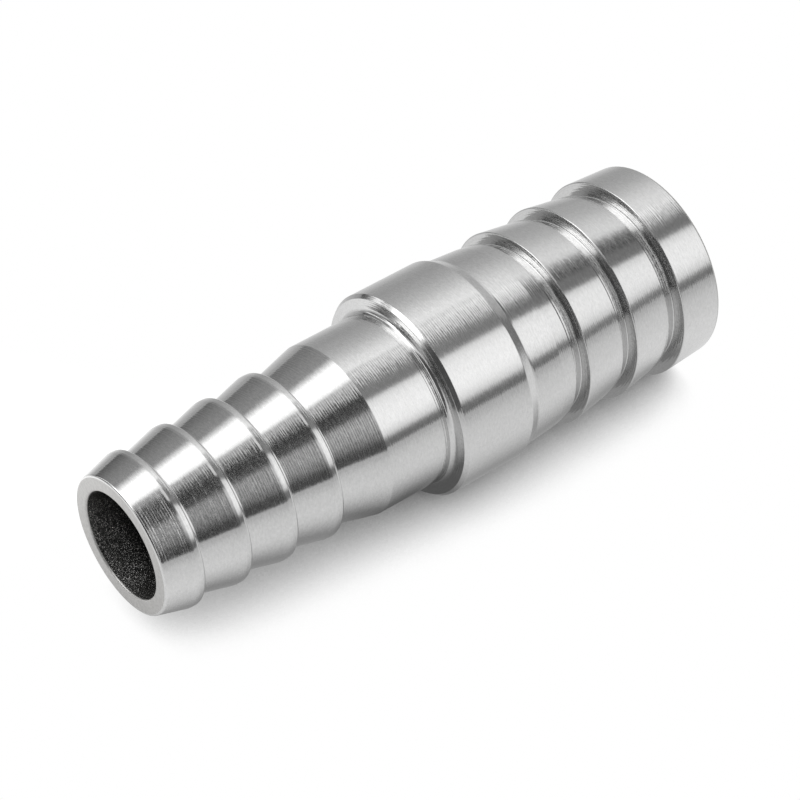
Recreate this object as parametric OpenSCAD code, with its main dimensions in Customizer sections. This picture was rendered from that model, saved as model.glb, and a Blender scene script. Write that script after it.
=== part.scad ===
// Reducing hose connector, turned from one stainless steel bar.
// The small hose end points up and the large hose end stands on the ground.
// Every outline is a list of [distance from the small tip, radius] pairs in millimetres,
// which is revolved once around the Z axis.

/* [Overall] */
// Length from end face to end face
overall_l = 54.6; // [54:0.1:60]

/* [Small hose end] */
// Diameter of the tip where its edge rounding ends
small_tip_d = 12.16; // [11.8:0.02:12.4]
// Rounding of the tip's outer edge
small_tip_edge = 0.22; // [0.1:0.02:0.4]
// Diameter over the first crest, counted from the tip
small_crest_d = 13.5; // [13.3:0.05:13.8]
// Growth in diameter from one crest to the next
small_crest_growth = 0.33; // [0.1:0.01:0.4]
// Number of crests
small_crests = 4; // [3:1:4]
// Distance from the tip to the first shoulder
small_first_shoulder = 3.3; // [3:0.1:3.6]
// Distance from one shoulder to the next
small_pitch = 4.3; // [4:0.1:4.4]
// Angle between a ramp and the axis, in degrees
small_ramp_angle = 14.1; // [12:0.1:15]
// Length of each crest, from the end of its ramp to the shoulder
small_crest_l = 0.66; // [0.5:0.01:0.8]
// Rounding of the crests at the shoulder
small_crest_edge = 0.26; // [0.1:0.02:0.34]
// Rounding at the foot of each shoulder
small_root_fillet = 0.28; // [0.14:0.02:0.4]

/* [Neck] */
// Diameter of the plain neck
neck_d = 15.08; // [14.9:0.02:15.4]
// Distance from the tip to the neck
neck_start = 20.68; // [20.4:0.02:21]
// Width of the relief that the parting tool left beside the collar
neck_relief_w = 0.93; // [0.8:0.01:1.1]
// Depth of that relief
neck_relief_depth = 0.05; // [0.03:0.01:0.15]
// Radius of the corner between the relief and the collar
neck_relief_fillet = 0.5; // [0.2:0.05:0.6]

/* [Collar] */
// Diameter of the collar
collar_d = 18; // [17.9:0.02:18.4]
// Distance from the tip to the collar's near face
collar_start = 27; // [26.6:0.1:27.4]
// Distance from the tip to the end of the collar's cylinder
collar_end = 33.9; // [33:0.1:34.2]
// Chamfer of the near edge, measured across the radius
collar_chamfer_w = 0.27; // [0.1:0.01:0.4]
// Chamfer of the near edge, measured along the axis
collar_chamfer_l = 0.36; // [0.1:0.01:0.5]
// Length of the bevel at the far edge
collar_bevel_l = 0.95; // [0.7:0.01:1.1]
// Drop of the bevel at the far edge
collar_bevel_drop = 0.42; // [0.3:0.01:0.5]

/* [Large hose end] */
// Distance from the tip to the bend where the first ramp grows steeper
large_bend_start = 37.85; // [37.4:0.05:38.2]
// Diameter at that bend
large_bend_d = 16.69; // [16.6:0.01:16.8]
// Diameters over the crests, in order from the collar
large_crest_d = [17.5, 17.58, 17.84]; // [17.2:0.02:18]
// Distance from the tip to the first shoulder
large_first_shoulder = 40.27; // [40:0.01:40.6]
// Distance from one shoulder to the next
large_pitch = 5.08; // [4.8:0.02:5.2]
// Break of the sharp crests
large_crest_edge = 0.1; // [0.05:0.01:0.15]
// Diameter at the foot of each ramp
large_ramp_foot_d = 16.34; // [16.2:0.01:16.5]
// Width of the relief in front of each shoulder
large_relief_w = 1.08; // [0.9:0.02:1.2]
// Length of the slope that leads down into the relief
large_relief_slope_l = 0.42; // [0.3:0.02:0.5]
// Diameter at the bottom of each relief
large_relief_d = 15.14; // [15:0.02:15.4]
// Rise of the relief's floor towards the shoulder's foot
large_relief_rise = 0.05; // [0.02:0.01:0.1]
// Radius of the corner at the shoulder's foot
large_relief_fillet = 0.1; // [0.06:0.02:0.2]
// Diameter of the large tip
large_tip_d = 17.36; // [17:0.02:17.5]
// Rounding of the large tip's outer edge
large_tip_edge = 0.25; // [0.1:0.05:0.4]

/* [Bore] */
// Bore through the small end
small_bore_d = 9.3; // [8.8:0.1:9.6]
// Rounding of the bore's edge at the small tip
small_bore_edge = 0.18; // [0.1:0.02:0.3]
// Bore drilled from the large end
large_bore_d = 12.8; // [12:0.1:13]
// Depth of that bore up to its drill point
large_bore_depth = 23.5; // [20:0.1:25]
// Angle of the drill point, in degrees
drill_point_angle = 118; // [60:1:140]
// Chamfer at the mouth of the large bore
large_bore_chamfer = 0.3; // [0.1:0.05:0.5]

/* [Hidden] */
$fn = 180;
steel = [0.78, 0.78, 0.77];
// Straight pieces that stand for one rounding
arc_steps = 6;

small_tip_r = small_tip_d / 2;
small_bore_r = small_bore_d / 2;
large_bore_r = large_bore_d / 2;
neck_r = neck_d / 2;
collar_r = collar_d / 2;
large_ramp_foot_r = large_ramp_foot_d / 2;
large_shoulders = [for (i = [0:len(large_crest_d) - 1]) large_first_shoulder + i * large_pitch];
drill_point_l = (large_bore_r - small_bore_r) / tan(drill_point_angle / 2);

// Points on an arc around c, from angle a0 to angle a1
function arc(c, r, a0, a1) =
    [for (i = [0:arc_steps]) let (a = a0 + (a1 - a0) * i / arc_steps) c + r * [cos(a), sin(a)]];

// Direction, in degrees, of the line from p that touches the circle of radius r around c
// and has the circle on its left
function tangent_bearing(p, c, r) = atan2(c[1] - p[1], c[0] - p[0]) - asin(r / norm(c - p));

// Distance of the small end's shoulder i from the tip
function small_shoulder(i) = small_first_shoulder + i * small_pitch;

// Point where the ramp that climbs to crest i of the small end is done
function small_crest_start(i) =
    [small_shoulder(i) - small_crest_l, (small_crest_d + i * small_crest_growth) / 2];

// Radius at distance s of the ramp that climbs to crest i
function small_ramp_r(i, s) =
    small_crest_start(i)[1] - (small_crest_start(i)[0] - s) * tan(small_ramp_angle);

// Radius at distance s of the last ramp, which runs up to the neck
function run_out_r(s) = neck_r - (neck_start - s) * tan(small_ramp_angle);

// Radius at distance s of the ramp that follows shoulder i
function next_ramp_r(i, s) = i < small_crests - 1 ? small_ramp_r(i + 1, s) : run_out_r(s);

// Rounded tip of the small end, from its flat face to the first ramp, which touches the rounding
function small_tip() =
    let (
        c = [small_tip_edge, small_tip_r - small_tip_edge],
        back = tangent_bearing(small_crest_start(0), c, small_tip_edge)
    )
    arc(c, small_tip_edge, 180, back + 270);

// Fillet at the foot of shoulder i, or the largest one that fits below the crest's rounding
function small_fillet(i) =
    let (
        height = small_crest_start(i)[1] - small_crest_edge - next_ramp_r(i, small_shoulder(i)),
        share = tan(small_ramp_angle) + 1 / cos(small_ramp_angle)
    )
    min(small_root_fillet, height / share);

// Crest i of the small end, its shoulder and the fillet at the shoulder's foot
function small_crest(i) =
    let (
        start = small_crest_start(i),
        c = start + [small_crest_l - small_crest_edge, -small_crest_edge],
        fillet = small_fillet(i),
        foot_s = small_shoulder(i) + fillet,
        foot_r = next_ramp_r(i, foot_s) + fillet / cos(small_ramp_angle)
    )
    concat(
        [start],
        arc(c, small_crest_edge, 90, 0),
        arc([foot_s, foot_r], fillet, 180, 270 + small_ramp_angle)
    );

// Plain neck and the shallow relief that ends it
function neck() =
    let (
        floor_r = neck_r - neck_relief_depth,
        corner = [collar_start - neck_relief_fillet, floor_r + neck_relief_fillet]
    )
    concat(
        [[neck_start, neck_r], [collar_start - neck_relief_w, neck_r]],
        [[collar_start - neck_relief_w + neck_relief_depth, floor_r]],
        arc(corner, neck_relief_fillet, -90, 0)
    );

// Collar with a chamfer at its near edge and a bevel at its far edge, where the first ramp starts
function collar() =
    [[collar_start, collar_r - collar_chamfer_w],
     [collar_start + collar_chamfer_l, collar_r],
     [collar_end, collar_r],
     [collar_end + collar_bevel_l, collar_r - collar_bevel_drop]];

// Relief and sharp shoulder i of the large end, up to the break of its crest.
// The relief starts with a slope, and its floor rises a little from there to the shoulder's foot.
function large_shoulder(i) =
    let (
        s = large_shoulders[i],
        ramp_end = [s - large_relief_w, large_ramp_foot_r],
        bottom = [ramp_end[0] + large_relief_slope_l, large_relief_d / 2],
        foot = [s, large_relief_d / 2 + large_relief_rise],
        c = foot + large_relief_fillet * [-1, 1],
        floor_angle = tangent_bearing(bottom, c, large_relief_fillet),
        crest_r = large_crest_d[i] / 2
    )
    concat(
        [ramp_end, bottom],
        arc(c, large_relief_fillet, floor_angle - 90, 0),
        arc([s + large_crest_edge, crest_r - large_crest_edge], large_crest_edge, 180, 90)
    );

// Rounded edge of the large tip
function large_tip() =
    arc([overall_l - large_tip_edge, large_tip_d / 2 - large_tip_edge], large_tip_edge, 90, 0);

// Stepped bore, from the large tip back to the small tip
function bore() =
    let (
        step = overall_l - large_bore_depth,
        edge = [small_bore_edge, small_bore_r + small_bore_edge]
    )
    concat(
        [[overall_l, large_bore_r + large_bore_chamfer],
         [overall_l - large_bore_chamfer, large_bore_r]],
        [[step, large_bore_r], [step - drill_point_l, small_bore_r]],
        arc(edge, small_bore_edge, -90, -180)
    );

// Whole half section as [distance from the small tip, radius] pairs
function half_section() =
    concat(
        small_tip(),
        [for (i = [0:small_crests - 1]) each small_crest(i)],
        neck(),
        collar(),
        [[large_bend_start, large_bend_d / 2]],
        [for (i = [0:len(large_shoulders) - 1]) each large_shoulder(i)],
        large_tip(),
        bore()
    );

module reducer_body() {
    color(steel)
        rotate_extrude()
            polygon([for (p = half_section()) [p[1], overall_l - p[0]]]);
}

reducer_body();
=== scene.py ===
"""Studio scene of a hose barb reducer, turned from one bar of stainless steel.

The reducer stands on its large end in its own frame, with +Z along its axis. The photograph shows it lying
on a white table, so the table here is an upright plane close beside the reducer, and the camera is rolled to
match. Lengths are in millimetres, and become metres where a mesh, a camera or a shader takes them.
"""

import logging
import math
from collections.abc import Sequence
from dataclasses import dataclass, field
from enum import Enum

import bpy
import numpy as np
from mathutils import Matrix, Vector

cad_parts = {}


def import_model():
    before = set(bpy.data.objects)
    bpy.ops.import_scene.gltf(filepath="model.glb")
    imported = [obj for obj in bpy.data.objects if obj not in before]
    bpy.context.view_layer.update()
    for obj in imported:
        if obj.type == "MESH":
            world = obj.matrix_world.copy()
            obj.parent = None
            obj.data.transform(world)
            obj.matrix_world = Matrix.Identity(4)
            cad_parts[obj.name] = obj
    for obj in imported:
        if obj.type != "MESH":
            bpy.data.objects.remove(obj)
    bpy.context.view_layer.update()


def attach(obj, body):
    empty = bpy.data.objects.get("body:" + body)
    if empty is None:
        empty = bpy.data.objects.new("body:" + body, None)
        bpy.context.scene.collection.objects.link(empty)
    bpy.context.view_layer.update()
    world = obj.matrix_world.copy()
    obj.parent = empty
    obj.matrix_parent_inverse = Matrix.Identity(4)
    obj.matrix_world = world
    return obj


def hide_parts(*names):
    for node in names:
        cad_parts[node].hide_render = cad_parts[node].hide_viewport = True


MM = 0.001
AXIS = Vector((0.0, 0.0, 1.0))
FRAME_NODE = "reducer_body"
LOG = logging.getLogger("reducer")

Levels = Sequence[tuple[float, float]]
Socket = bpy.types.NodeSocket


class Zone(Enum):
    """The ways in which a stretch of the reducer's surface was cut, numbered as the body's materials are."""

    TURNED = 0
    FACED = 1
    BORED = 2


@dataclass(frozen=True)
class Corner:
    """One corner of the half section.

    Args:
        distance: distance from the small tip along the axis.
        radius: distance from the axis.
        rounding: radius of the arc that rounds the corner off.
        zone: how the surface from this corner to the next was cut.
    """

    distance: float
    radius: float
    rounding: float = 0.04
    zone: Zone = Zone.TURNED


@dataclass
class SmallHoseEnd:
    """The slim end: rounded barbs that grow a little towards the neck."""

    tip_radius: float = 6.028
    tip_edge: float = 0.22
    crest_radius: float = 6.75
    crest_growth: float = 0.165
    crests: int = 4
    first_shoulder: float = 3.3
    pitch: float = 4.3
    ramp_angle: float = math.radians(14.1)
    crest_length: float = 0.66
    crest_bend: float = 1.5
    crest_edge: float = 0.26
    root_fillet: float = 0.28

    def shoulder(self, index: int) -> float:
        """Returns the distance of one shoulder from the tip."""
        return self.first_shoulder + index * self.pitch

    def crest(self, index: int) -> float:
        """Returns the radius of one crest."""
        return self.crest_radius + index * self.crest_growth

    def ramp_radius(self, index: int, distance: float) -> float:
        """Returns the radius of the ramp that climbs to a crest, at a distance from the tip."""
        end = self.shoulder(index) - self.crest_length
        return self.crest(index) - (end - distance) * math.tan(self.ramp_angle)

    def corners(self, run_out: "Neck") -> list[Corner]:
        """Lists the corners from the flat tip to the foot of the last shoulder.

        Args:
            run_out: the neck, up to which the ramp behind the last shoulder climbs.

        Returns:
            The corners in order from the tip.
        """
        found = [Corner(0.0, self.tip_radius, self.tip_edge)]
        for index in range(self.crests):
            face = self.shoulder(index)
            last = index == self.crests - 1
            foot = run_out.ramp_radius(face, self.ramp_angle) if last else self.ramp_radius(index + 1, face)
            found.append(Corner(face - self.crest_length, self.crest(index), self.crest_bend))
            found.append(Corner(face, self.crest(index), self.crest_edge))
            found.append(Corner(face, foot, self.root_fillet))
        return found


@dataclass
class Neck:
    """The plain cylinder between the small barbs and the collar, with its shallow relief."""

    radius: float = 7.54
    start: float = 20.68
    start_bend: float = 0.6
    relief_width: float = 0.93
    relief_depth: float = 0.05
    relief_edge: float = 0.02
    relief_fillet: float = 0.5

    def ramp_radius(self, distance: float, angle: float) -> float:
        """Returns the radius of the run-out ramp at a distance from the tip."""
        return self.radius - (self.start - distance) * math.tan(angle)

    def corners(self, collar_start: float) -> list[Corner]:
        """Lists the corners from the end of the run-out ramp to the collar's foot.

        Args:
            collar_start: distance of the collar's near face from the small tip.

        Returns:
            The corners in order from the small tip.
        """
        relief = collar_start - self.relief_width
        floor = self.radius - self.relief_depth
        return [
            Corner(self.start, self.radius, self.start_bend),
            Corner(relief, self.radius, self.relief_edge),
            Corner(relief + self.relief_depth, floor, self.relief_edge),
            Corner(collar_start, floor, self.relief_fillet),
        ]


@dataclass
class Collar:
    """The stop between the two hoses, chamfered at one edge and bevelled at the other."""

    radius: float = 9.0
    start: float = 27.0
    end: float = 33.9
    face_edge: float = 0.06
    chamfer_width: float = 0.27
    chamfer_length: float = 0.36
    chamfer_edge: float = 0.08
    bevel_edge: float = 0.4
    bevel_length: float = 0.95
    bevel_drop: float = 0.42
    bevel_foot: float = 0.9

    def corners(self) -> list[Corner]:
        """Lists the corners from the near chamfer to the foot of the far bevel.

        Returns:
            The corners in order from the small tip.
        """
        return [
            Corner(self.start, self.radius - self.chamfer_width, self.face_edge),
            Corner(self.start + self.chamfer_length, self.radius, self.chamfer_edge),
            Corner(self.end, self.radius, self.bevel_edge),
            Corner(self.end + self.bevel_length, self.radius - self.bevel_drop, self.bevel_foot),
        ]


@dataclass
class LargeHoseEnd:
    """The wide end: sharp barbs, each with a relief in front of its shoulder."""

    bend_start: float = 37.85
    bend_radius: float = 8.345
    bend_rounding: float = 0.3
    crest_radii: tuple[float, ...] = (8.75, 8.79, 8.92)
    first_shoulder: float = 40.27
    pitch: float = 5.08
    crest_edge: float = 0.1
    foot_radius: float = 8.17
    relief_width: float = 1.08
    relief_edge: float = 0.02
    slope_length: float = 0.42
    slope_foot: float = 0.05
    relief_radius: float = 7.57
    relief_rise: float = 0.05
    relief_fillet: float = 0.1
    tip_radius: float = 8.68
    tip_edge: float = 0.25

    def corners(self, tip: float) -> list[Corner]:
        """Lists the corners from the bend in the first ramp to the large tip.

        Args:
            tip: distance of the large tip from the small tip.

        Returns:
            The corners in order towards the large tip.
        """
        found = [Corner(self.bend_start, self.bend_radius, self.bend_rounding)]
        for index, crest in enumerate(self.crest_radii):
            face = self.first_shoulder + index * self.pitch
            start = face - self.relief_width
            found.append(Corner(start, self.foot_radius, self.relief_edge))
            found.append(Corner(start + self.slope_length, self.relief_radius, self.slope_foot))
            found.append(Corner(face, self.relief_radius + self.relief_rise, self.relief_fillet))
            found.append(Corner(face, crest, self.crest_edge))
        found.append(Corner(tip, self.tip_radius, self.tip_edge, Zone.FACED))
        return found


@dataclass
class Bore:
    """The stepped bore: narrow through the small end, wide through the large one."""

    small_radius: float = 4.65
    small_edge: float = 0.18
    inner_start: float = 15.0
    large_radius: float = 6.4
    large_depth: float = 23.5
    drill_half_angle: float = math.radians(59.0)
    chamfer: float = 0.3

    def mouth_corners(self) -> list[Corner]:
        """Lists the corners from the outline's start inside the narrow bore to the small tip's face.

        Returns:
            The corners in order towards the small tip.
        """
        return [
            Corner(self.inner_start, self.small_radius, 0.0, Zone.BORED),
            Corner(0.0, self.small_radius, self.small_edge, Zone.FACED),
        ]

    def back_corners(self, tip: float) -> list[Corner]:
        """Lists the corners from the large tip's face back into the narrow bore.

        Args:
            tip: distance of the large tip from the small tip.

        Returns:
            The corners in order towards the small tip.
        """
        step = tip - self.large_depth
        point = (self.large_radius - self.small_radius) / math.tan(self.drill_half_angle)
        return [
            Corner(tip, self.large_radius + self.chamfer, zone=Zone.BORED),
            Corner(tip - self.chamfer, self.large_radius, zone=Zone.BORED),
            Corner(step, self.large_radius, zone=Zone.BORED),
            Corner(step - point, self.small_radius, zone=Zone.BORED),
        ]


@dataclass
class Reducer:
    """The whole reducer, one revolved body."""

    length: float = 54.6
    segments: int = 300
    arc_steps: int = 8
    least_gap: float = 1e-6
    small_end: SmallHoseEnd = field(default_factory=SmallHoseEnd)
    neck: Neck = field(default_factory=Neck)
    collar: Collar = field(default_factory=Collar)
    large_end: LargeHoseEnd = field(default_factory=LargeHoseEnd)
    bore: Bore = field(default_factory=Bore)

    def corners(self) -> list[Corner]:
        """Lists every corner of the half section.

        Returns:
            The corners from inside the narrow bore over the small tip and the outside to the large tip, and
            back into the narrow bore.
        """
        return [
            *self.bore.mouth_corners(),
            *self.small_end.corners(self.neck),
            *self.neck.corners(self.collar.start),
            *self.collar.corners(),
            *self.large_end.corners(self.length),
            *self.bore.back_corners(self.length),
        ]

    def outline(self) -> tuple[np.ndarray, np.ndarray, np.ndarray]:
        """Rounds every corner of the half section off.

        A corner's arc touches both of its sides at rounding times tan(turn / 2) from the corner. Its centre
        lies one rounding off that place, square to the side, and the normal turns evenly along the arc from
        one side to the other. Points that coincide are left out.

        Returns:
            Points (n, 2) as distance and radius, their outward normals (n, 2), and their zones (n,).
        """
        corners = self.corners()
        points = np.array([(c.distance, c.radius) for c in corners])
        rounding = np.array([c.rounding for c in corners])
        ahead = np.roll(points, -1, axis=0) - points
        ahead /= np.linalg.norm(ahead, axis=1, keepdims=True)
        behind = np.roll(ahead, 1, axis=0)
        heading = np.arctan2(behind[:, 1], behind[:, 0])
        cross = behind[:, 0] * ahead[:, 1] - behind[:, 1] * ahead[:, 0]
        turn = np.arctan2(cross, (behind * ahead).sum(axis=1))
        reach = rounding * np.tan(np.abs(turn) / 2.0)
        touch = points - behind * reach[:, None]
        left = np.stack([-behind[:, 1], behind[:, 0]], axis=1)
        side = np.sign(turn)[:, None]
        centre = touch + left * side * rounding[:, None]
        steps = np.linspace(0.0, 1.0, self.arc_steps)
        angle = heading[:, None] + turn[:, None] * steps[None, :]
        normal = np.stack([-np.sin(angle), np.cos(angle)], axis=2)
        arcs = centre[:, None, :] - normal * (side * rounding[:, None])[:, None, :]
        rounded = arcs.reshape(-1, 2)
        zones = np.repeat([c.zone.value for c in corners], self.arc_steps)
        keep = self.gaps(rounded) > self.least_gap
        return rounded[keep], normal.reshape(-1, 2)[keep], zones[keep]

    def gaps(self, outline: np.ndarray) -> np.ndarray:
        """Returns the distance from each point of a closed outline to the next."""
        return np.linalg.norm(np.roll(outline, -1, axis=0) - outline, axis=1)

    def revolve(self, radial: np.ndarray, axial: np.ndarray) -> np.ndarray:
        """Carries pairs of a radial and an axial part around the Z axis.

        At azimuth a, the pair r and z becomes (r cos a, r sin a, z).

        Args:
            radial: radial parts (n,).
            axial: axial parts (n,).

        Returns:
            The turned vectors (n, segments, 3).
        """
        azimuth = np.linspace(0.0, 2.0 * math.pi, self.segments, endpoint=False)
        turned = np.empty((len(radial), self.segments, 3))
        turned[..., 0] = radial[:, None] * np.cos(azimuth)
        turned[..., 1] = radial[:, None] * np.sin(azimuth)
        turned[..., 2] = axial[:, None]
        return turned

    def mesh(self) -> bpy.types.Mesh:
        """Revolves the half section around the Z axis.

        A point at distance s from the small tip stands at height length - s. Each face joins two neighbouring
        outline points at two neighbouring azimuths, and its corners run so that it faces outwards. In the UV
        map, u goes once around the axis and v once along the outline.

        Returns:
            A closed mesh with a smooth normal in each vertex, a UV map, and the attribute "along", which is
            the length walked along the outline.
        """
        outline, normals, zones = self.outline()
        gaps = self.gaps(outline)
        along = np.concatenate([[0.0], np.cumsum(gaps)[:-1]])
        place = self.revolve(outline[:, 1], self.length - outline[:, 0]) * MM
        facing = self.revolve(normals[:, 1], -normals[:, 0])

        row, column = np.meshgrid(np.arange(len(outline)), np.arange(self.segments), indexing="ij")
        upper = row * self.segments
        lower = (row + 1) % len(outline) * self.segments
        beside = (column + 1) % self.segments
        faces = np.stack([upper + column, lower + column, lower + beside, upper + beside], axis=2)
        mesh = bpy.data.meshes.new("turned_body")
        mesh.from_pydata(place.reshape(-1, 3).tolist(), [], faces.reshape(-1, 4).tolist())
        mesh.polygons.foreach_set("use_smooth", np.ones(row.size, dtype=bool))
        mesh.polygons.foreach_set("material_index", np.repeat(zones, self.segments).astype(np.int32))

        walked = mesh.attributes.new("along", "FLOAT", "POINT")
        walked.data.foreach_set("value", np.repeat(along, self.segments).astype(np.float32))
        u = np.stack([column, column, column + 1, column + 1], axis=2) / self.segments
        start = np.broadcast_to(along[:, None], row.shape)
        end = np.broadcast_to((along + gaps)[:, None], row.shape)
        v = np.stack([start, end, end, start], axis=2) / gaps.sum()
        unrolled = mesh.uv_layers.new(name="unrolled")
        unrolled.data.foreach_set("uv", np.stack([u, v], axis=3).astype(np.float32).ravel())
        mesh.normals_split_custom_set_from_vertices(facing.reshape(-1, 3).tolist())
        mesh.update()
        return mesh

    def build(self) -> bpy.types.Object:
        """Makes the reducer, dresses it, and lets it stand for its CAD node.

        Returns:
            The reducer.
        """
        body = bpy.data.objects.new("turned_reducer", self.mesh())
        bpy.context.scene.collection.objects.link(body)
        body.data.materials.append(TurnedSteel().material())
        body.data.materials.append(FacedSteel().material())
        body.data.materials.append(BoredSteel().material(self.length))
        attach(body, "root")
        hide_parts(FRAME_NODE)
        return body


class NodeBench:
    """A small helper that places shader nodes and wires them up."""

    def __init__(self, tree: bpy.types.NodeTree) -> None:
        """Takes an empty node tree."""
        self.tree = tree

    def add(self, kind: str, settings: dict | None = None, **inputs: object) -> bpy.types.Node:
        """Adds one node.

        Args:
            kind: the node's Blender type.
            settings: the node's own properties.
            inputs: sockets by name, with spaces written as underscores. A socket takes a value, or an output
                socket of another node. A name such as Value_1 picks the input by its number.

        Returns:
            The new node.
        """
        node = self.tree.nodes.new(kind)
        for name, value in (settings or {}).items():
            setattr(node, name, value)
        for name, value in inputs.items():
            number = name.rpartition("_")[2]
            socket = node.inputs[int(number)] if number.isdigit() else node.inputs[name.replace("_", " ")]
            if isinstance(value, Socket):
                self.tree.links.new(value, socket)
            else:
                socket.default_value = value
        return node

    def place(self) -> Socket:
        """Returns the Object coordinates."""
        return self.add("ShaderNodeTexCoord").outputs["Object"]

    def geometry(self, name: str) -> Socket:
        """Returns one output of a Geometry node."""
        return self.add("ShaderNodeNewGeometry").outputs[name]

    def parts(self, vector: Socket) -> bpy.types.NodeOutputs:
        """Returns the X, Y and Z of a vector."""
        return self.add("ShaderNodeSeparateXYZ", Vector=vector).outputs

    def channels(self, colour: Socket) -> bpy.types.NodeOutputs:
        """Returns the Red, Green and Blue of a colour."""
        return self.add("ShaderNodeSeparateColor", Color=colour).outputs

    def math(self, operation: str, *values: object) -> Socket:
        """Adds one Math node and returns its output."""
        inputs = {f"Value_{index}": value for index, value in enumerate(values)}
        return self.add("ShaderNodeMath", {"operation": operation}, **inputs).outputs[0]

    def vector(self, operation: str, *values: object) -> Socket:
        """Adds one Vector Math node and returns its vector."""
        inputs = {f"Vector_{index}": value for index, value in enumerate(values)}
        return self.add("ShaderNodeVectorMath", {"operation": operation}, **inputs).outputs["Vector"]

    def scaled(self, vector: object, factor: object) -> Socket:
        """Returns a vector times a number."""
        node = self.add("ShaderNodeVectorMath", {"operation": "SCALE"}, Vector_0=vector, Scale=factor)
        return node.outputs["Vector"]

    def dot(self, vector: Socket, along: Vector) -> Socket:
        """Returns the length of a vector along a fixed direction."""
        node = self.add("ShaderNodeVectorMath", {"operation": "DOT_PRODUCT"}, Vector_0=vector, Vector_1=along)
        return node.outputs["Value"]

    def ramp(self, factor: Socket, stops: Levels) -> Socket:
        """Adds a grey ramp.

        Args:
            factor: where on the ramp to look, from 0 to 1.
            stops: pairs of place and brightness, in order.

        Returns:
            The ramp's colour output.
        """
        node = self.add("ShaderNodeValToRGB", Fac=factor)
        elements = node.color_ramp.elements
        while len(elements) < len(stops):
            elements.new(1.0)
        for element, (place, level) in zip(elements, stops):
            element.position = place
            element.color = (level, level, level, 1.0)
        return node.outputs["Color"]

    def span(self, value: Socket, start: float, end: float, low: float, high: float,
             smooth: bool = False) -> Socket:
        """Maps a value from one range to another and holds it at the ends outside.

        Args:
            value: the value.
            start: value that becomes low.
            end: value that becomes high.
            low: result at the start.
            high: result at the end.
            smooth: whether the result leaves and reaches its ends gently.

        Returns:
            The result.
        """
        settings = {"interpolation_type": "SMOOTHSTEP" if smooth else "LINEAR"}
        node = self.add("ShaderNodeMapRange", settings, Value=value, From_Min=start, From_Max=end,
                        To_Min=low, To_Max=high)
        return node.outputs["Result"]

    def swing(self, noise: Socket, low: float, high: float, reach: float) -> Socket:
        """Maps noise, which gathers around one half, from reach below it to reach above it to low..high."""
        return self.span(noise, 0.5 - reach, 0.5 + reach, low, high)

    def drift(self, along: Socket, pace: float, detail: float) -> Socket:
        """Returns noise that changes with one value, pace times per unit."""
        node = self.add("ShaderNodeTexNoise", {"noise_dimensions": "1D"}, W=along, Scale=pace, Detail=detail)
        return node.outputs["Fac"]

    def blend(self, share: object, first: object, second: object) -> Socket:
        """Mixes two colours. At share 0 the first one shows alone, and at 1 the second one."""
        node = self.add("ShaderNodeMix", {"data_type": "RGBA"}, Factor_0=share, A_6=first, B_7=second)
        return node.outputs[2]

    def mix_shaders(self, share: Socket, first: bpy.types.Node, second: bpy.types.Node) -> bpy.types.Node:
        """Mixes the shaders of two nodes in the way that blend mixes colours."""
        shaders = {"Shader_1": first.outputs[0], "Shader_2": second.outputs[0]}
        return self.add("ShaderNodeMixShader", Fac=share, **shaders)

    def metal(self, colour: Socket, roughness: object, normal: Socket, **inputs: object) -> None:
        """Ends a material's tree with a metal, whose other sockets are given in the form that add takes."""
        shader = self.add("ShaderNodeBsdfPrincipled", Base_Color=colour, Metallic=1.0, Roughness=roughness,
                          Normal=normal, **inputs)
        self.add("ShaderNodeOutputMaterial", Surface=shader.outputs["BSDF"])


def new_material(name: str) -> tuple[bpy.types.Material, NodeBench]:
    """Makes a material with an empty node tree.

    Args:
        name: the material's name.

    Returns:
        The material, and the bench for its nodes.
    """
    material = bpy.data.materials.new(name)
    material.use_nodes = True
    material.node_tree.nodes.clear()
    return material, NodeBench(material.node_tree)


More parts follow.
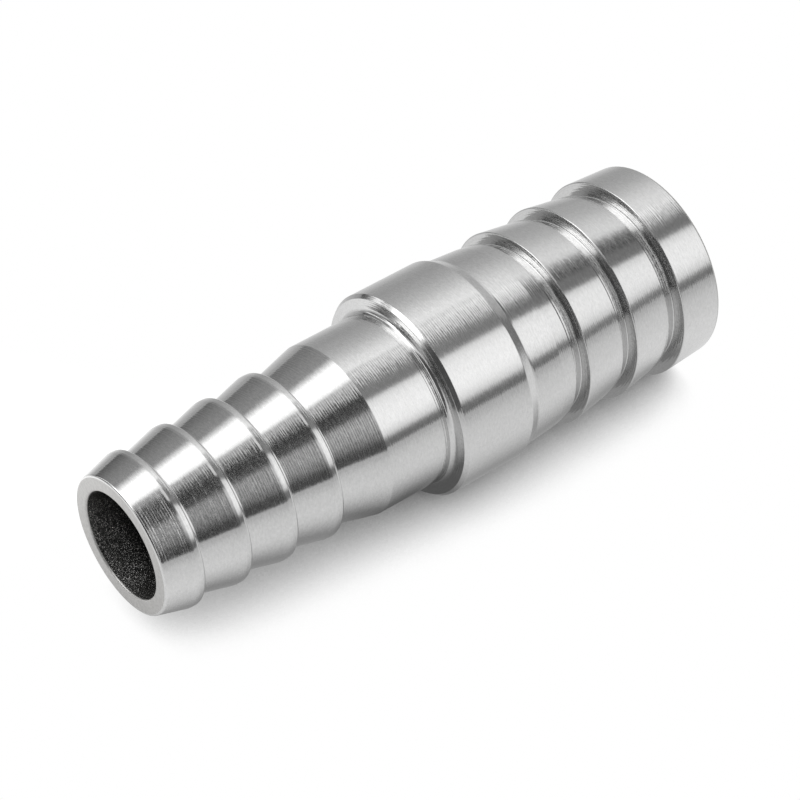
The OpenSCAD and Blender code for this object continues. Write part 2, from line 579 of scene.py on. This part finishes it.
@dataclass(frozen=True)
class TurnedSteel:
    """Bright steel with fine lines around the axis, as a lathe tool leaves it.

    Args:
        colour: colour of the bare metal.
        roughness: roughness at the middle of the grain.
        smoother: how far the roughness falls with the grain.
        rougher: how far it rises.
        shade: darkest and brightest share of the colour over the grain.
        stretch: how far the metal draws its reflections out lengthwise.
        feed: distance between two turning lines.
        line_tilt: tilt of the normal by a line of strength 1.
        strength: least and greatest strength of a line.
        wander: how far the lines' phase strays to either side, in radians.
        scratch_tilt: tilt by the scratches between the lines.
        grain_tilt: tilt around the axis.
        upright_from: how upright a face is where its lines and scratches begin to grow stronger, from 0 to 1.
        upright_full: how upright it is where they are strongest.
        shoulder_share: how many times stronger they are there.
        grains_around: grains per metre around the axis.
        grains_along: grains per millimetre along the outline.
    """

    colour: tuple[float, float, float] = (0.62, 0.62, 0.618)
    roughness: float = 0.14
    smoother: float = 0.03
    rougher: float = 0.04
    shade: tuple[float, float] = (0.9, 1.09)
    stretch: float = 0.6
    feed: float = 0.2
    line_tilt: float = 0.03
    strength: tuple[float, float] = (0.3, 1.5)
    wander: float = 4.0
    scratch_tilt: float = 0.035
    grain_tilt: float = 0.01
    upright_from: float = 0.6
    upright_full: float = 0.98
    shoulder_share: float = 1.7
    grains_around: float = 2600.0
    grains_along: float = 5.5

    def material(self) -> bpy.types.Material:
        """Builds the node material.

        The lines are a wave over the length walked along the outline, one per turn of the bar, made uneven by
        noise. They tilt the normal lengthwise, and more on the upright faces, which were cut by the tool's
        side. Short grain turns the normal a little around the axis.

        Returns:
            The material.
        """
        material, bench = new_material("turned_steel")
        along = bench.add("ShaderNodeAttribute", {"attribute_name": "along"}).outputs["Fac"]
        tangent = bench.add("ShaderNodeTangent", {"direction_type": "RADIAL", "axis": "Z"}).outputs["Tangent"]
        flat = bench.geometry("Normal")
        grain = bench.channels(self.grain(bench, along))
        upright = bench.math("ABSOLUTE", bench.parts(flat)["Z"])
        share = bench.span(upright, self.upright_from, self.upright_full, 1.0, self.shoulder_share)
        lines = bench.math("MULTIPLY", self.line_tilts(bench, along, grain["Green"]), share)
        around = bench.swing(grain["Red"], -self.grain_tilt, self.grain_tilt, reach=0.3)
        beside = bench.vector("CROSS_PRODUCT", flat, tangent)
        turned = bench.vector("ADD", flat, bench.scaled(tangent, around))
        normal = bench.vector("NORMALIZE", bench.vector("ADD", turned, bench.scaled(beside, lines)))
        rough = bench.swing(grain["Blue"], self.roughness - self.smoother, self.roughness + self.rougher,
                            reach=0.2)
        shade = bench.swing(grain["Blue"], *self.shade, reach=0.25)
        bench.metal(bench.scaled(self.colour, shade), rough, normal, Anisotropic=self.stretch,
                    Anisotropic_Rotation=0.25, Tangent=tangent)
        return material

    def line_tilts(self, bench: NodeBench, along: Socket, unevenness: Socket) -> Socket:
        """Returns the tilt of the turning lines and of the scratches between them.

        The tilt is line_tilt times the sine of 2 pi along / feed plus a slow drift, times a strength that
        varies from line to line, plus the unevenness between -1 and 1 times scratch_tilt.

        Args:
            bench: the material's nodes.
            along: length walked along the outline.
            unevenness: noise that gives the scratches.

        Returns:
            The tilt, as the share of the lengthwise direction that is added to the normal.
        """
        wander = bench.swing(bench.drift(along, pace=1.3, detail=1.0), -self.wander, self.wander, reach=0.5)
        phase = bench.math("MULTIPLY_ADD", along, 2.0 * math.pi / self.feed, wander)
        weakest, strongest = (share * self.line_tilt for share in self.strength)
        size = bench.swing(bench.drift(along, pace=2.3, detail=2.0), weakest, strongest, reach=0.2)
        scratches = bench.swing(unevenness, -self.scratch_tilt, self.scratch_tilt, reach=0.3)
        return bench.math("MULTIPLY_ADD", bench.math("SINE", phase), size, scratches)

    def grain(self, bench: NodeBench, along: Socket) -> Socket:
        """Makes noise with one grain size around the axis and another along the outline.

        Args:
            bench: the material's nodes.
            along: length walked along the outline.

        Returns:
            The noise as a colour, whose channels are independent of each other.
        """
        place = bench.parts(bench.place())
        spread = bench.add("ShaderNodeCombineXYZ", X=bench.math("MULTIPLY", place["X"], self.grains_around),
                           Y=bench.math("MULTIPLY", place["Y"], self.grains_around),
                           Z=bench.math("MULTIPLY", along, self.grains_along)).outputs["Vector"]
        noise = bench.add("ShaderNodeTexNoise", Vector=spread, Scale=1.0, Detail=4.0, Roughness=0.7)
        return noise.outputs["Color"]


@dataclass(frozen=True)
class FacedSteel:
    """The duller finish of the two end faces, which were cut and then tumbled.

    Args:
        colour: colour of the bare metal.
        roughness: roughness at the middle of the grain.
        rough_change: how far it falls and rises with the grain.
        shade: darkest and brightest share of the colour over the grain.
        grains: grains per metre.
        grain_height: height of the grain in metres.
    """

    colour: tuple[float, float, float] = (0.54, 0.535, 0.525)
    roughness: float = 0.45
    rough_change: float = 0.06
    shade: tuple[float, float] = (0.85, 1.1)
    grains: float = 4500.0
    grain_height: float = 6e-6

    def material(self) -> bpy.types.Material:
        """Builds the node material: fine grain in bump, colour and roughness.

        Returns:
            The material.
        """
        material, bench = new_material("faced_steel")
        noise = bench.add("ShaderNodeTexNoise", Vector=bench.place(), Scale=self.grains, Detail=3.0)
        grain = noise.outputs["Fac"]
        bump = bench.add("ShaderNodeBump", Height=grain, Distance=self.grain_height).outputs["Normal"]
        rough = bench.swing(grain, self.roughness - self.rough_change, self.roughness + self.rough_change,
                            reach=0.2)
        shade = bench.swing(grain, *self.shade, reach=0.2)
        bench.metal(bench.scaled(self.colour, shade), rough, bump)
        return material


@dataclass(frozen=True)
class BoredSteel:
    """The rough, dark wall that the drill left in the bore, with painted shade that deepens inside it.

    Args:
        colour: colour of the bare metal.
        roughness: roughness of each facet.
        facets: facets per metre.
        facet_turn: how far a facet turns the normal.
        painted_shade_level: share of the colour's brightness that the painted shade leaves deep inside.
        painted_shade_depth: depth below a mouth at which the painted shade is complete.
        dull_share: share of the facets that are dull.
        dull: brightness of those facets.
        bright: brightness of the brightest facets, whose colour above 1 paints glints.
    """

    colour: tuple[float, float, float] = (0.8, 0.79, 0.77)
    roughness: float = 0.42
    facets: float = 24000.0
    facet_turn: float = 0.5
    painted_shade_level: float = 0.14
    painted_shade_depth: float = 7.0
    dull_share: float = 0.85
    dull: float = 0.24
    bright: float = 1.3

    def material(self, length: float) -> bpy.types.Material:
        """Builds the node material.

        The drill tore the wall into small facets. Each facet turns the normal its own way and has its own
        brightness. The wall's colour darkens with the depth below the nearer mouth, as painted shade deep
        inside.

        Args:
            length: the bore's length from mouth to mouth, which starts at height 0.

        Returns:
            The material.
        """
        material, bench = new_material("bored_steel")
        place = bench.place()
        facet = bench.add("ShaderNodeTexVoronoi", Vector=place, Scale=self.facets).outputs["Color"]
        turn = bench.scaled(bench.vector("SUBTRACT", facet, (0.5, 0.5, 0.5)), self.facet_turn)
        normal = bench.vector("NORMALIZE", bench.vector("ADD", bench.geometry("Normal"), turn))
        half = length * MM / 2.0
        from_middle = bench.math("ABSOLUTE", bench.math("SUBTRACT", bench.parts(place)["Z"], half))
        # Painted shade: the colour darkens with the depth below the nearer mouth.
        painted_depth_shade = bench.span(from_middle, half - self.painted_shade_depth * MM, half, self.painted_shade_level, 1.0)
        # Random brightness per facet: most are dull, and the rare brightest are painted glints.
        glint = bench.span(bench.channels(facet)["Blue"], self.dull_share, 1.0, self.dull, self.bright)
        shade = bench.math("MULTIPLY", painted_depth_shade, glint)
        bench.metal(bench.scaled(self.colour, shade), self.roughness, normal)
        return material


@dataclass(frozen=True)
class LightRing:
    """The light that comes from directions of one lean, all around the reducer's axis.

    Args:
        start: lean towards the large end at which the ring begins to show, in degrees.
        full: lean at which it shows alone.
        levels: pairs of bearing in degrees and brightness, in order.
        slant: bearings between which the bands' edges run slanted, so that the turning lines tooth them.
        ripple: bearings between which the brightness changes with the lean, so that the turning lines show.
    """

    start: float
    full: float
    levels: Levels
    slant: tuple[float, float] | None = None
    ripple: tuple[float, float] | None = None


@dataclass(frozen=True)
class Studio:
    """The white table, the soft light around it, and the photograph's camera.

    The table is an upright plane beside the reducer. Its normal looks out between the +X and -Y axes.
    Bearings of the light are counted around the reducer's axis from that normal, positive towards +X +Y.
    Distances in the photograph are in pixels, and the angles of the table and the camera in radians.

    Args:
        table_bearing: angle from the -Y axis to the table's normal.
        table_gap: distance of the table from the reducer's axis.
        table_size: the table's width.
        picture_width: width of the photograph.
        lens: focal length of the camera.
        sensor: width of its sensor.
        clip: nearest and farthest distance that the camera shows.
        tip_pixel: where the centre of the small tip's face lies in the photograph.
        tip_depth: distance of that centre in front of the camera.
        axis_turn: direction of the reducer's axis in the picture, from the right downwards.
        axis_away: how far the axis turns away from the camera.
        light_level: brightness of the light where a ring says 1.
        shadow_reach: how far from the table something still shades it.
        shadow_samples: rays that look for the shadow.
        tip_zone: heights between which the light on the table changes to that beside the small tip.
        deep_zone: heights between which the mirrored shadow grows deeper.
        deepening: power of the mirrored shadow below and above that zone.
        floor_height: height up to which the mirrored shadow's least brightness is given.
        falloff_reach: how far beside the axis the light on the table is given.
        slant_period: change of lean from one slant to the next, in degrees.
        slant_offset: lean towards the small tip at which the slants start, in degrees.
        slant_shift: how far a slant shifts the bearings, in degrees.
        soft_end: width of a slant's and a ripple's soft ends, in degrees.
        ripple_share: share of the brightness that a ripple adds and takes.
    """

    table_bearing: float = math.radians(45.0)
    table_gap: float = 9.02
    table_size: float = 3000.0
    picture_width: float = 800.0
    lens: float = 131.05
    sensor: float = 36.0
    clip: tuple[float, float] = (10.0, 20000.0)
    tip_pixel: tuple[float, float] = (120.18, 546.27)
    tip_depth: float = 223.245
    axis_turn: float = math.radians(-28.456)
    axis_away: float = math.radians(27.183)
    light_level: float = 1.6
    shadow_reach: float = 60.0
    shadow_samples: int = 16
    tip_zone: tuple[float, float] = (32.0, 52.0)
    deep_zone: tuple[float, float] = (24.0, 29.0)
    deepening: tuple[float, float] = (0.92, 1.45)
    floor_height: float = 50.0
    falloff_reach: float = 120.0
    slant_period: float = 29.0
    slant_offset: float = 1.0
    slant_shift: float = 9.0
    soft_end: float = 6.0
    ripple_share: float = 0.6

    def up(self) -> Vector:
        """Returns the table's normal."""
        return Vector((math.sin(self.table_bearing), -math.cos(self.table_bearing), 0.0))

    def across(self) -> Vector:
        """Returns the direction that lies in the table, square to the reducer's axis."""
        return AXIS.cross(self.up())

    def place_camera(self, tip_height: float) -> bpy.types.Object:
        """Places the camera where the photograph was taken.

        In the axes of the picture (right, down, forward) the reducer's axis runs from its small tip along
        (cos away cos turn, cos away sin turn, sin away), and the table's normal has no part to the right. The
        camera itself looks along its -Z axis, with +Y up.

        Args:
            tip_height: height of the small tip above the origin.

        Returns:
            The camera.
        """
        axis = Vector((
            math.cos(self.axis_away) * math.cos(self.axis_turn),
            math.cos(self.axis_away) * math.sin(self.axis_turn),
            math.sin(self.axis_away),
        ))
        normal = Vector((0.0, -axis.z, axis.y)).normalized()
        seen = Matrix(((-axis).cross(normal), normal, -axis)).transposed()
        real = Matrix((self.across(), self.up(), AXIS)).transposed()
        turn = real @ seen.transposed()
        focal = self.lens / self.sensor * self.picture_width
        middle = self.picture_width / 2.0
        tip = Vector(((self.tip_pixel[0] - middle) / focal, (self.tip_pixel[1] - middle) / focal, 1.0))
        place = AXIS * tip_height - turn @ (tip * self.tip_depth)
        data = bpy.data.cameras.new("photograph_camera")
        data.lens = self.lens
        data.sensor_width = self.sensor
        data.clip_start = self.clip[0] * MM
        data.clip_end = self.clip[1] * MM
        camera = bpy.data.objects.new("photograph_camera", data)
        flip = Matrix(((1.0, 0.0, 0.0), (0.0, -1.0, 0.0), (0.0, 0.0, -1.0)))
        camera.matrix_world = Matrix.Translation(place * MM) @ (turn @ flip).to_4x4()
        bpy.context.scene.collection.objects.link(camera)
        bpy.context.scene.camera = camera
        return camera

    def build_table(self, length: float) -> bpy.types.Object:
        """Makes the table, a plane that is clear from behind.

        Args:
            length: the reducer's length, beside whose middle the table is centred.

        Returns:
            The table.
        """
        half = self.table_size / 2.0
        middle = self.up() * -self.table_gap + AXIS * (length / 2.0)
        sides = [(-half, -half), (half, -half), (half, half), (-half, half)]
        points = [(middle + self.across() * a + AXIS * b) * MM for a, b in sides]
        mesh = bpy.data.meshes.new("table")
        mesh.from_pydata(points, [], [(0, 1, 2, 3)])
        table = bpy.data.objects.new("table", mesh)
        bpy.context.scene.collection.objects.link(table)
        mesh.materials.append(self.table_material())
        return table

    def table_material(self) -> bpy.types.Material:
        """Builds the table's material: white, with the reducer's soft shadow, and clear from behind.

        The steel mirrors a paler shadow than the camera sees, on a table that is lit unevenly. Light that is
        scattered onwards meets a plain matt table.

        Returns:
            The material.
        """
        material, bench = new_material("white_table")
        place = bench.place()
        open_sky = bench.add("ShaderNodeAmbientOcclusion", {"samples": self.shadow_samples},
                             Distance=self.shadow_reach * MM).outputs["AO"]
        shadow = bench.ramp(open_sky, ((0.0, 0.03), (0.15, 0.14), (0.26, 0.37), (0.42, 0.72), (0.53, 0.97),
                                       (0.57, 1.0)))
        height = bench.dot(place, AXIS)
        path = bench.add("ShaderNodeLightPath").outputs
        shade = bench.blend(path["Is Camera Ray"], self.mirrored_shadow(bench, open_sky, height), shadow)
        level = bench.math("MAXIMUM", path["Is Camera Ray"], self.table_light(bench, place, height))
        seen = bench.add("ShaderNodeEmission", Color=shade, Strength=level)
        lit = bench.add("ShaderNodeBsdfDiffuse", Color=(0.8, 0.8, 0.8, 1.0))
        mirrored = bench.math("MAXIMUM", path["Is Glossy Ray"], path["Is Transmission Ray"])
        watched = bench.math("MAXIMUM", path["Is Camera Ray"], mirrored)
        front = bench.mix_shaders(watched, lit, seen)
        clear = bench.add("ShaderNodeBsdfTransparent")
        both = bench.mix_shaders(bench.geometry("Backfacing"), front, clear)
        bench.add("ShaderNodeOutputMaterial", Surface=both.outputs[0])
        return material

    def mirrored_shadow(self, bench: NodeBench, open_sky: Socket, height: Socket) -> Socket:
        """Returns the shadow that the steel mirrors, which is deepest beside the neck.

        Args:
            bench: the table's nodes.
            open_sky: share of the sky that the reducer leaves open.
            height: height above the large end, in metres.

        Returns:
            The brightness of the table in the shadow.
        """
        pale = bench.ramp(open_sky, ((0.0, 0.02), (0.25, 0.12), (0.48, 0.4), (0.6, 0.62), (0.7, 0.8),
                                     (0.8, 0.94), (0.88, 1.0)))
        low, high = self.deep_zone
        deep = bench.math("POWER", pale, bench.span(height, low * MM, high * MM, *self.deepening))
        floor = bench.ramp(bench.span(height, 0.0, self.floor_height * MM, 0.0, 1.0), (
            (0.0, 0.38), (0.48, 0.38), (0.56, 0.13), (0.63, 0.13), (0.76, 0.33), (1.0, 0.33)))
        return bench.math("MAXIMUM", deep, floor)

    def table_light(self, bench: NodeBench, place: Socket, height: Socket) -> Socket:
        """Gives the brightness of the table out of the shadow, which changes across it and with the height.

        Args:
            bench: the table's nodes.
            place: Object coordinates.
            height: height above the large end, in metres.

        Returns:
            The table's brightness.
        """
        reach = self.falloff_reach * MM
        beside = bench.span(bench.dot(place, self.across()), -reach, reach, 0.0, 1.0)
        low, high = self.tip_zone
        near_tip = bench.span(height, low * MM, high * MM, 0.0, 1.0)
        body = bench.ramp(beside, self.falloff(1.0, 0.75, 0.68, 0.62, 0.5))
        tip = bench.ramp(beside, self.falloff(1.45, 1.35, 1.1, 0.8, 0.42))
        return bench.blend(near_tip, body, tip)

    def falloff(self, *levels: float) -> Levels:
        """Lists how bright the table is beside the reducer, as pairs of ramp place and brightness.

        Args:
            levels: brightness at 18, 27, 37, 54 and 110 mm beside the axis, on the side of positive bearings.

        Returns:
            The pairs, from the far end of the other side across.
        """
        other_side = ((-120, 0.65), (-67, 0.76), (-42, 0.85), (-23, 0.92), (-14, 1.0), (12, 1.0))
        this_side = tuple(zip((18, 27, 37, 54, 110), levels))
        width = 2.0 * self.falloff_reach
        return [(0.5 + beside / width, level) for beside, level in other_side + this_side]

    def build_light(self) -> bpy.types.World:
        """Lights the reducer with long soft bands that run beside its axis.

        The brightness of a direction follows its bearing around the axis on one of the rings below. The lean
        towards the large end picks the ring, and neighbouring rings are mixed.

        Returns:
            The world, which the camera sees as plain white.
        """
        world = bpy.data.worlds.new("studio_light")
        bpy.context.scene.world = world
        world.use_nodes = True
        world.node_tree.nodes.clear()
        bench = NodeBench(world.node_tree)
        ray = bench.add("ShaderNodeTexCoord").outputs["Generated"]
        bearing = bench.math("ARCTAN2", bench.dot(ray, self.across()), bench.dot(ray, self.up()))
        turn = bench.span(bearing, -math.pi, math.pi, 0.0, 1.0)
        lean = bench.math("ARCSINE", bench.dot(ray, -AXIS))
        phase = bench.math("MULTIPLY_ADD", lean, 360.0 / self.slant_period,
                           2.0 * math.pi * self.slant_offset / self.slant_period)
        wave = bench.math("SINE", phase)
        first, *others = self.rings()
        colour = self.ring_colour(bench, first, turn, wave)
        for ring in others:
            share = bench.span(lean, math.radians(ring.start), math.radians(ring.full), 0.0, 1.0, smooth=True)
            colour = bench.blend(share, colour, self.ring_colour(bench, ring, turn, wave))
        soft = bench.add("ShaderNodeBackground", Color=colour, Strength=self.light_level)
        white = bench.add("ShaderNodeBackground", Color=(1.0, 1.0, 1.0, 1.0), Strength=1.0)
        to_camera = bench.add("ShaderNodeLightPath").outputs["Is Camera Ray"]
        both = bench.mix_shaders(to_camera, soft, white)
        bench.add("ShaderNodeOutputWorld", Surface=both.outputs[0])
        return world

    def ring_colour(self, bench: NodeBench, ring: LightRing, turn: Socket, wave: Socket) -> Socket:
        """Returns the light of one ring.

        Args:
            bench: the world's nodes.
            ring: the ring.
            turn: bearing as a place on a ramp, from 0 to 1.
            wave: swings between -1 and 1 with the lean.

        Returns:
            The light's colour.
        """
        place = turn
        if ring.slant:
            shift = bench.math("MULTIPLY", wave, self.slant_shift / 360.0)
            place = bench.math("MULTIPLY_ADD", self.window(bench, turn, ring.slant), shift, turn)
        colour = bench.ramp(place, self.stops(ring.levels))
        if ring.ripple:
            swing = bench.math("MULTIPLY", wave, self.ripple_share)
            share = bench.math("MULTIPLY_ADD", self.window(bench, turn, ring.ripple), swing, 1.0)
            colour = bench.scaled(colour, share)
        return colour

    def window(self, bench: NodeBench, turn: Socket, bearings: tuple[float, float]) -> Socket:
        """Picks out the directions between two bearings.

        Args:
            bench: the world's nodes.
            turn: bearing as a place on a ramp, from 0 to 1.
            bearings: the two bearings, in degrees.

        Returns:
            1 between the bearings and 0 outside, with soft ends.
        """
        low, high = bearings
        ends = ((low - self.soft_end, 0.0), (low, 1.0), (high, 1.0), (high + self.soft_end, 0.0))
        return bench.ramp(turn, self.stops(ends))

    def rings(self) -> list[LightRing]:
        """Lists the rings of light, from the small tip's side to the large end's.

        A ring is named after what mirrors it in the photograph. The large shoulders do so by way of the
        relief in front of them.

        Returns:
            The rings, by growing lean.
        """
        dim_side = ((-93, 0.05), (-75, 0.07), (-20, 0.05))
        beyond_small_tip = LightRing(-90, -90, (
            *dim_side, (0, 0.12), (8, 0.6), (36, 0.7), (46, 0.3), (60, 0.08), (90, 0.06)))
        in_collar_chamfer = LightRing(-56, -51, (
            *dim_side, (-6, 0.08), (0, 0.35), (4, 0.55), (10, 0.7), (22, 0.6), (28, 0.35), (34, 0.12),
            (60, 0.1), (90, 0.07)))
        in_large_shoulders = LightRing(-44, -40, (
            *dim_side, (-2, 0.1), (5, 1.5), (20, 1.9), (54, 1.9), (62, 0.9), (72, 0.3), (90, 0.15)))
        in_collar_face = LightRing(-34, -30, (
            *dim_side, (-1, 0.1), (6, 1.3), (20, 1.7), (44, 1.7), (52, 0.7), (62, 0.2), (90, 0.06)))
        in_roundings = LightRing(-24, -20, ((-93, 0.6), (-70, 1.0), (70, 1.0), (93, 0.6)))
        in_small_ramps = LightRing(-17, -11, (
            (-93, 0.15), (-88, 0.05), (-78, 0.06), (-70, 0.18), (-60, 0.3), (-50, 0.36), (-43, 0.34),
            (-36, 0.07), (-23, 0.03), (-15, 0.08), (-10, 0.45), (0, 0.42), (4, 0.95), (12, 1.25), (30, 1.15),
            (37, 0.6), (43, 0.24), (60, 0.2), (78, 0.13), (90, 0.07)), slant=(-19, -9), ripple=(-85, -3))
        in_neck_and_collar = LightRing(5, 25, (
            (-93, 0.2), (-88, 0.12), (-81, 0.16), (-75, 0.66), (-66, 0.86), (-56, 0.9), (-40, 0.85),
            (-30, 0.72), (-25, 0.2), (-13, 0.16), (-9, 0.17), (-6, 0.32), (-1, 0.5), (9, 0.64), (12.5, 0.7),
            (14.5, 0.58), (17, 0.8), (30, 0.66), (45, 0.47), (60, 0.36), (80, 0.29), (90, 0.3)),
            slant=(-17, -4), ripple=(-4, 12))
        in_large_ramps = LightRing(33, 42, (
            (-95, 0.2), (-86, 0.14), (-81, 0.2), (-76, 0.6), (-67, 0.74), (-58, 0.8), (-40, 0.78),
            (-30, 0.66), (-25, 0.17), (-12, 0.13), (-3, 0.17), (6, 0.38), (15, 0.55), (24, 0.66), (42, 0.56),
            (60, 0.42), (76, 0.36), (93, 0.36)), slant=(-12, 6), ripple=(-6, 12))
        beyond_large_end = LightRing(58, 70, (
            (-93, 0.2), (-70, 0.15), (4, 0.15), (14, 0.27), (40, 0.36), (90, 0.42)))
        return [beyond_small_tip, in_collar_chamfer, in_large_shoulders, in_collar_face, in_roundings,
                in_small_ramps, in_neck_and_collar, in_large_ramps, beyond_large_end]

    def stops(self, bearings: Levels) -> Levels:
        """Turns pairs of bearing in degrees and brightness into pairs of ramp place and brightness."""
        return [(degrees / 360.0 + 0.5, level) for degrees, level in bearings]


def set_view() -> None:
    """Sets the plain view transform."""
    bpy.context.scene.view_settings.view_transform = "Standard"


def main() -> None:
    """Builds the scene."""
    logging.basicConfig(level=logging.INFO, format="%(message)s")
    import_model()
    set_view()
    studio = Studio()
    reducer = Reducer()
    studio.place_camera(reducer.length)
    body = reducer.build()
    LOG.info("%s: %d faces", body.name, len(body.data.polygons))
    table = studio.build_table(reducer.length)
    LOG.info("%s placed", table.name)
    world = studio.build_light()
    LOG.info("%s set", world.name)


if __name__ == "__main__":
    main()
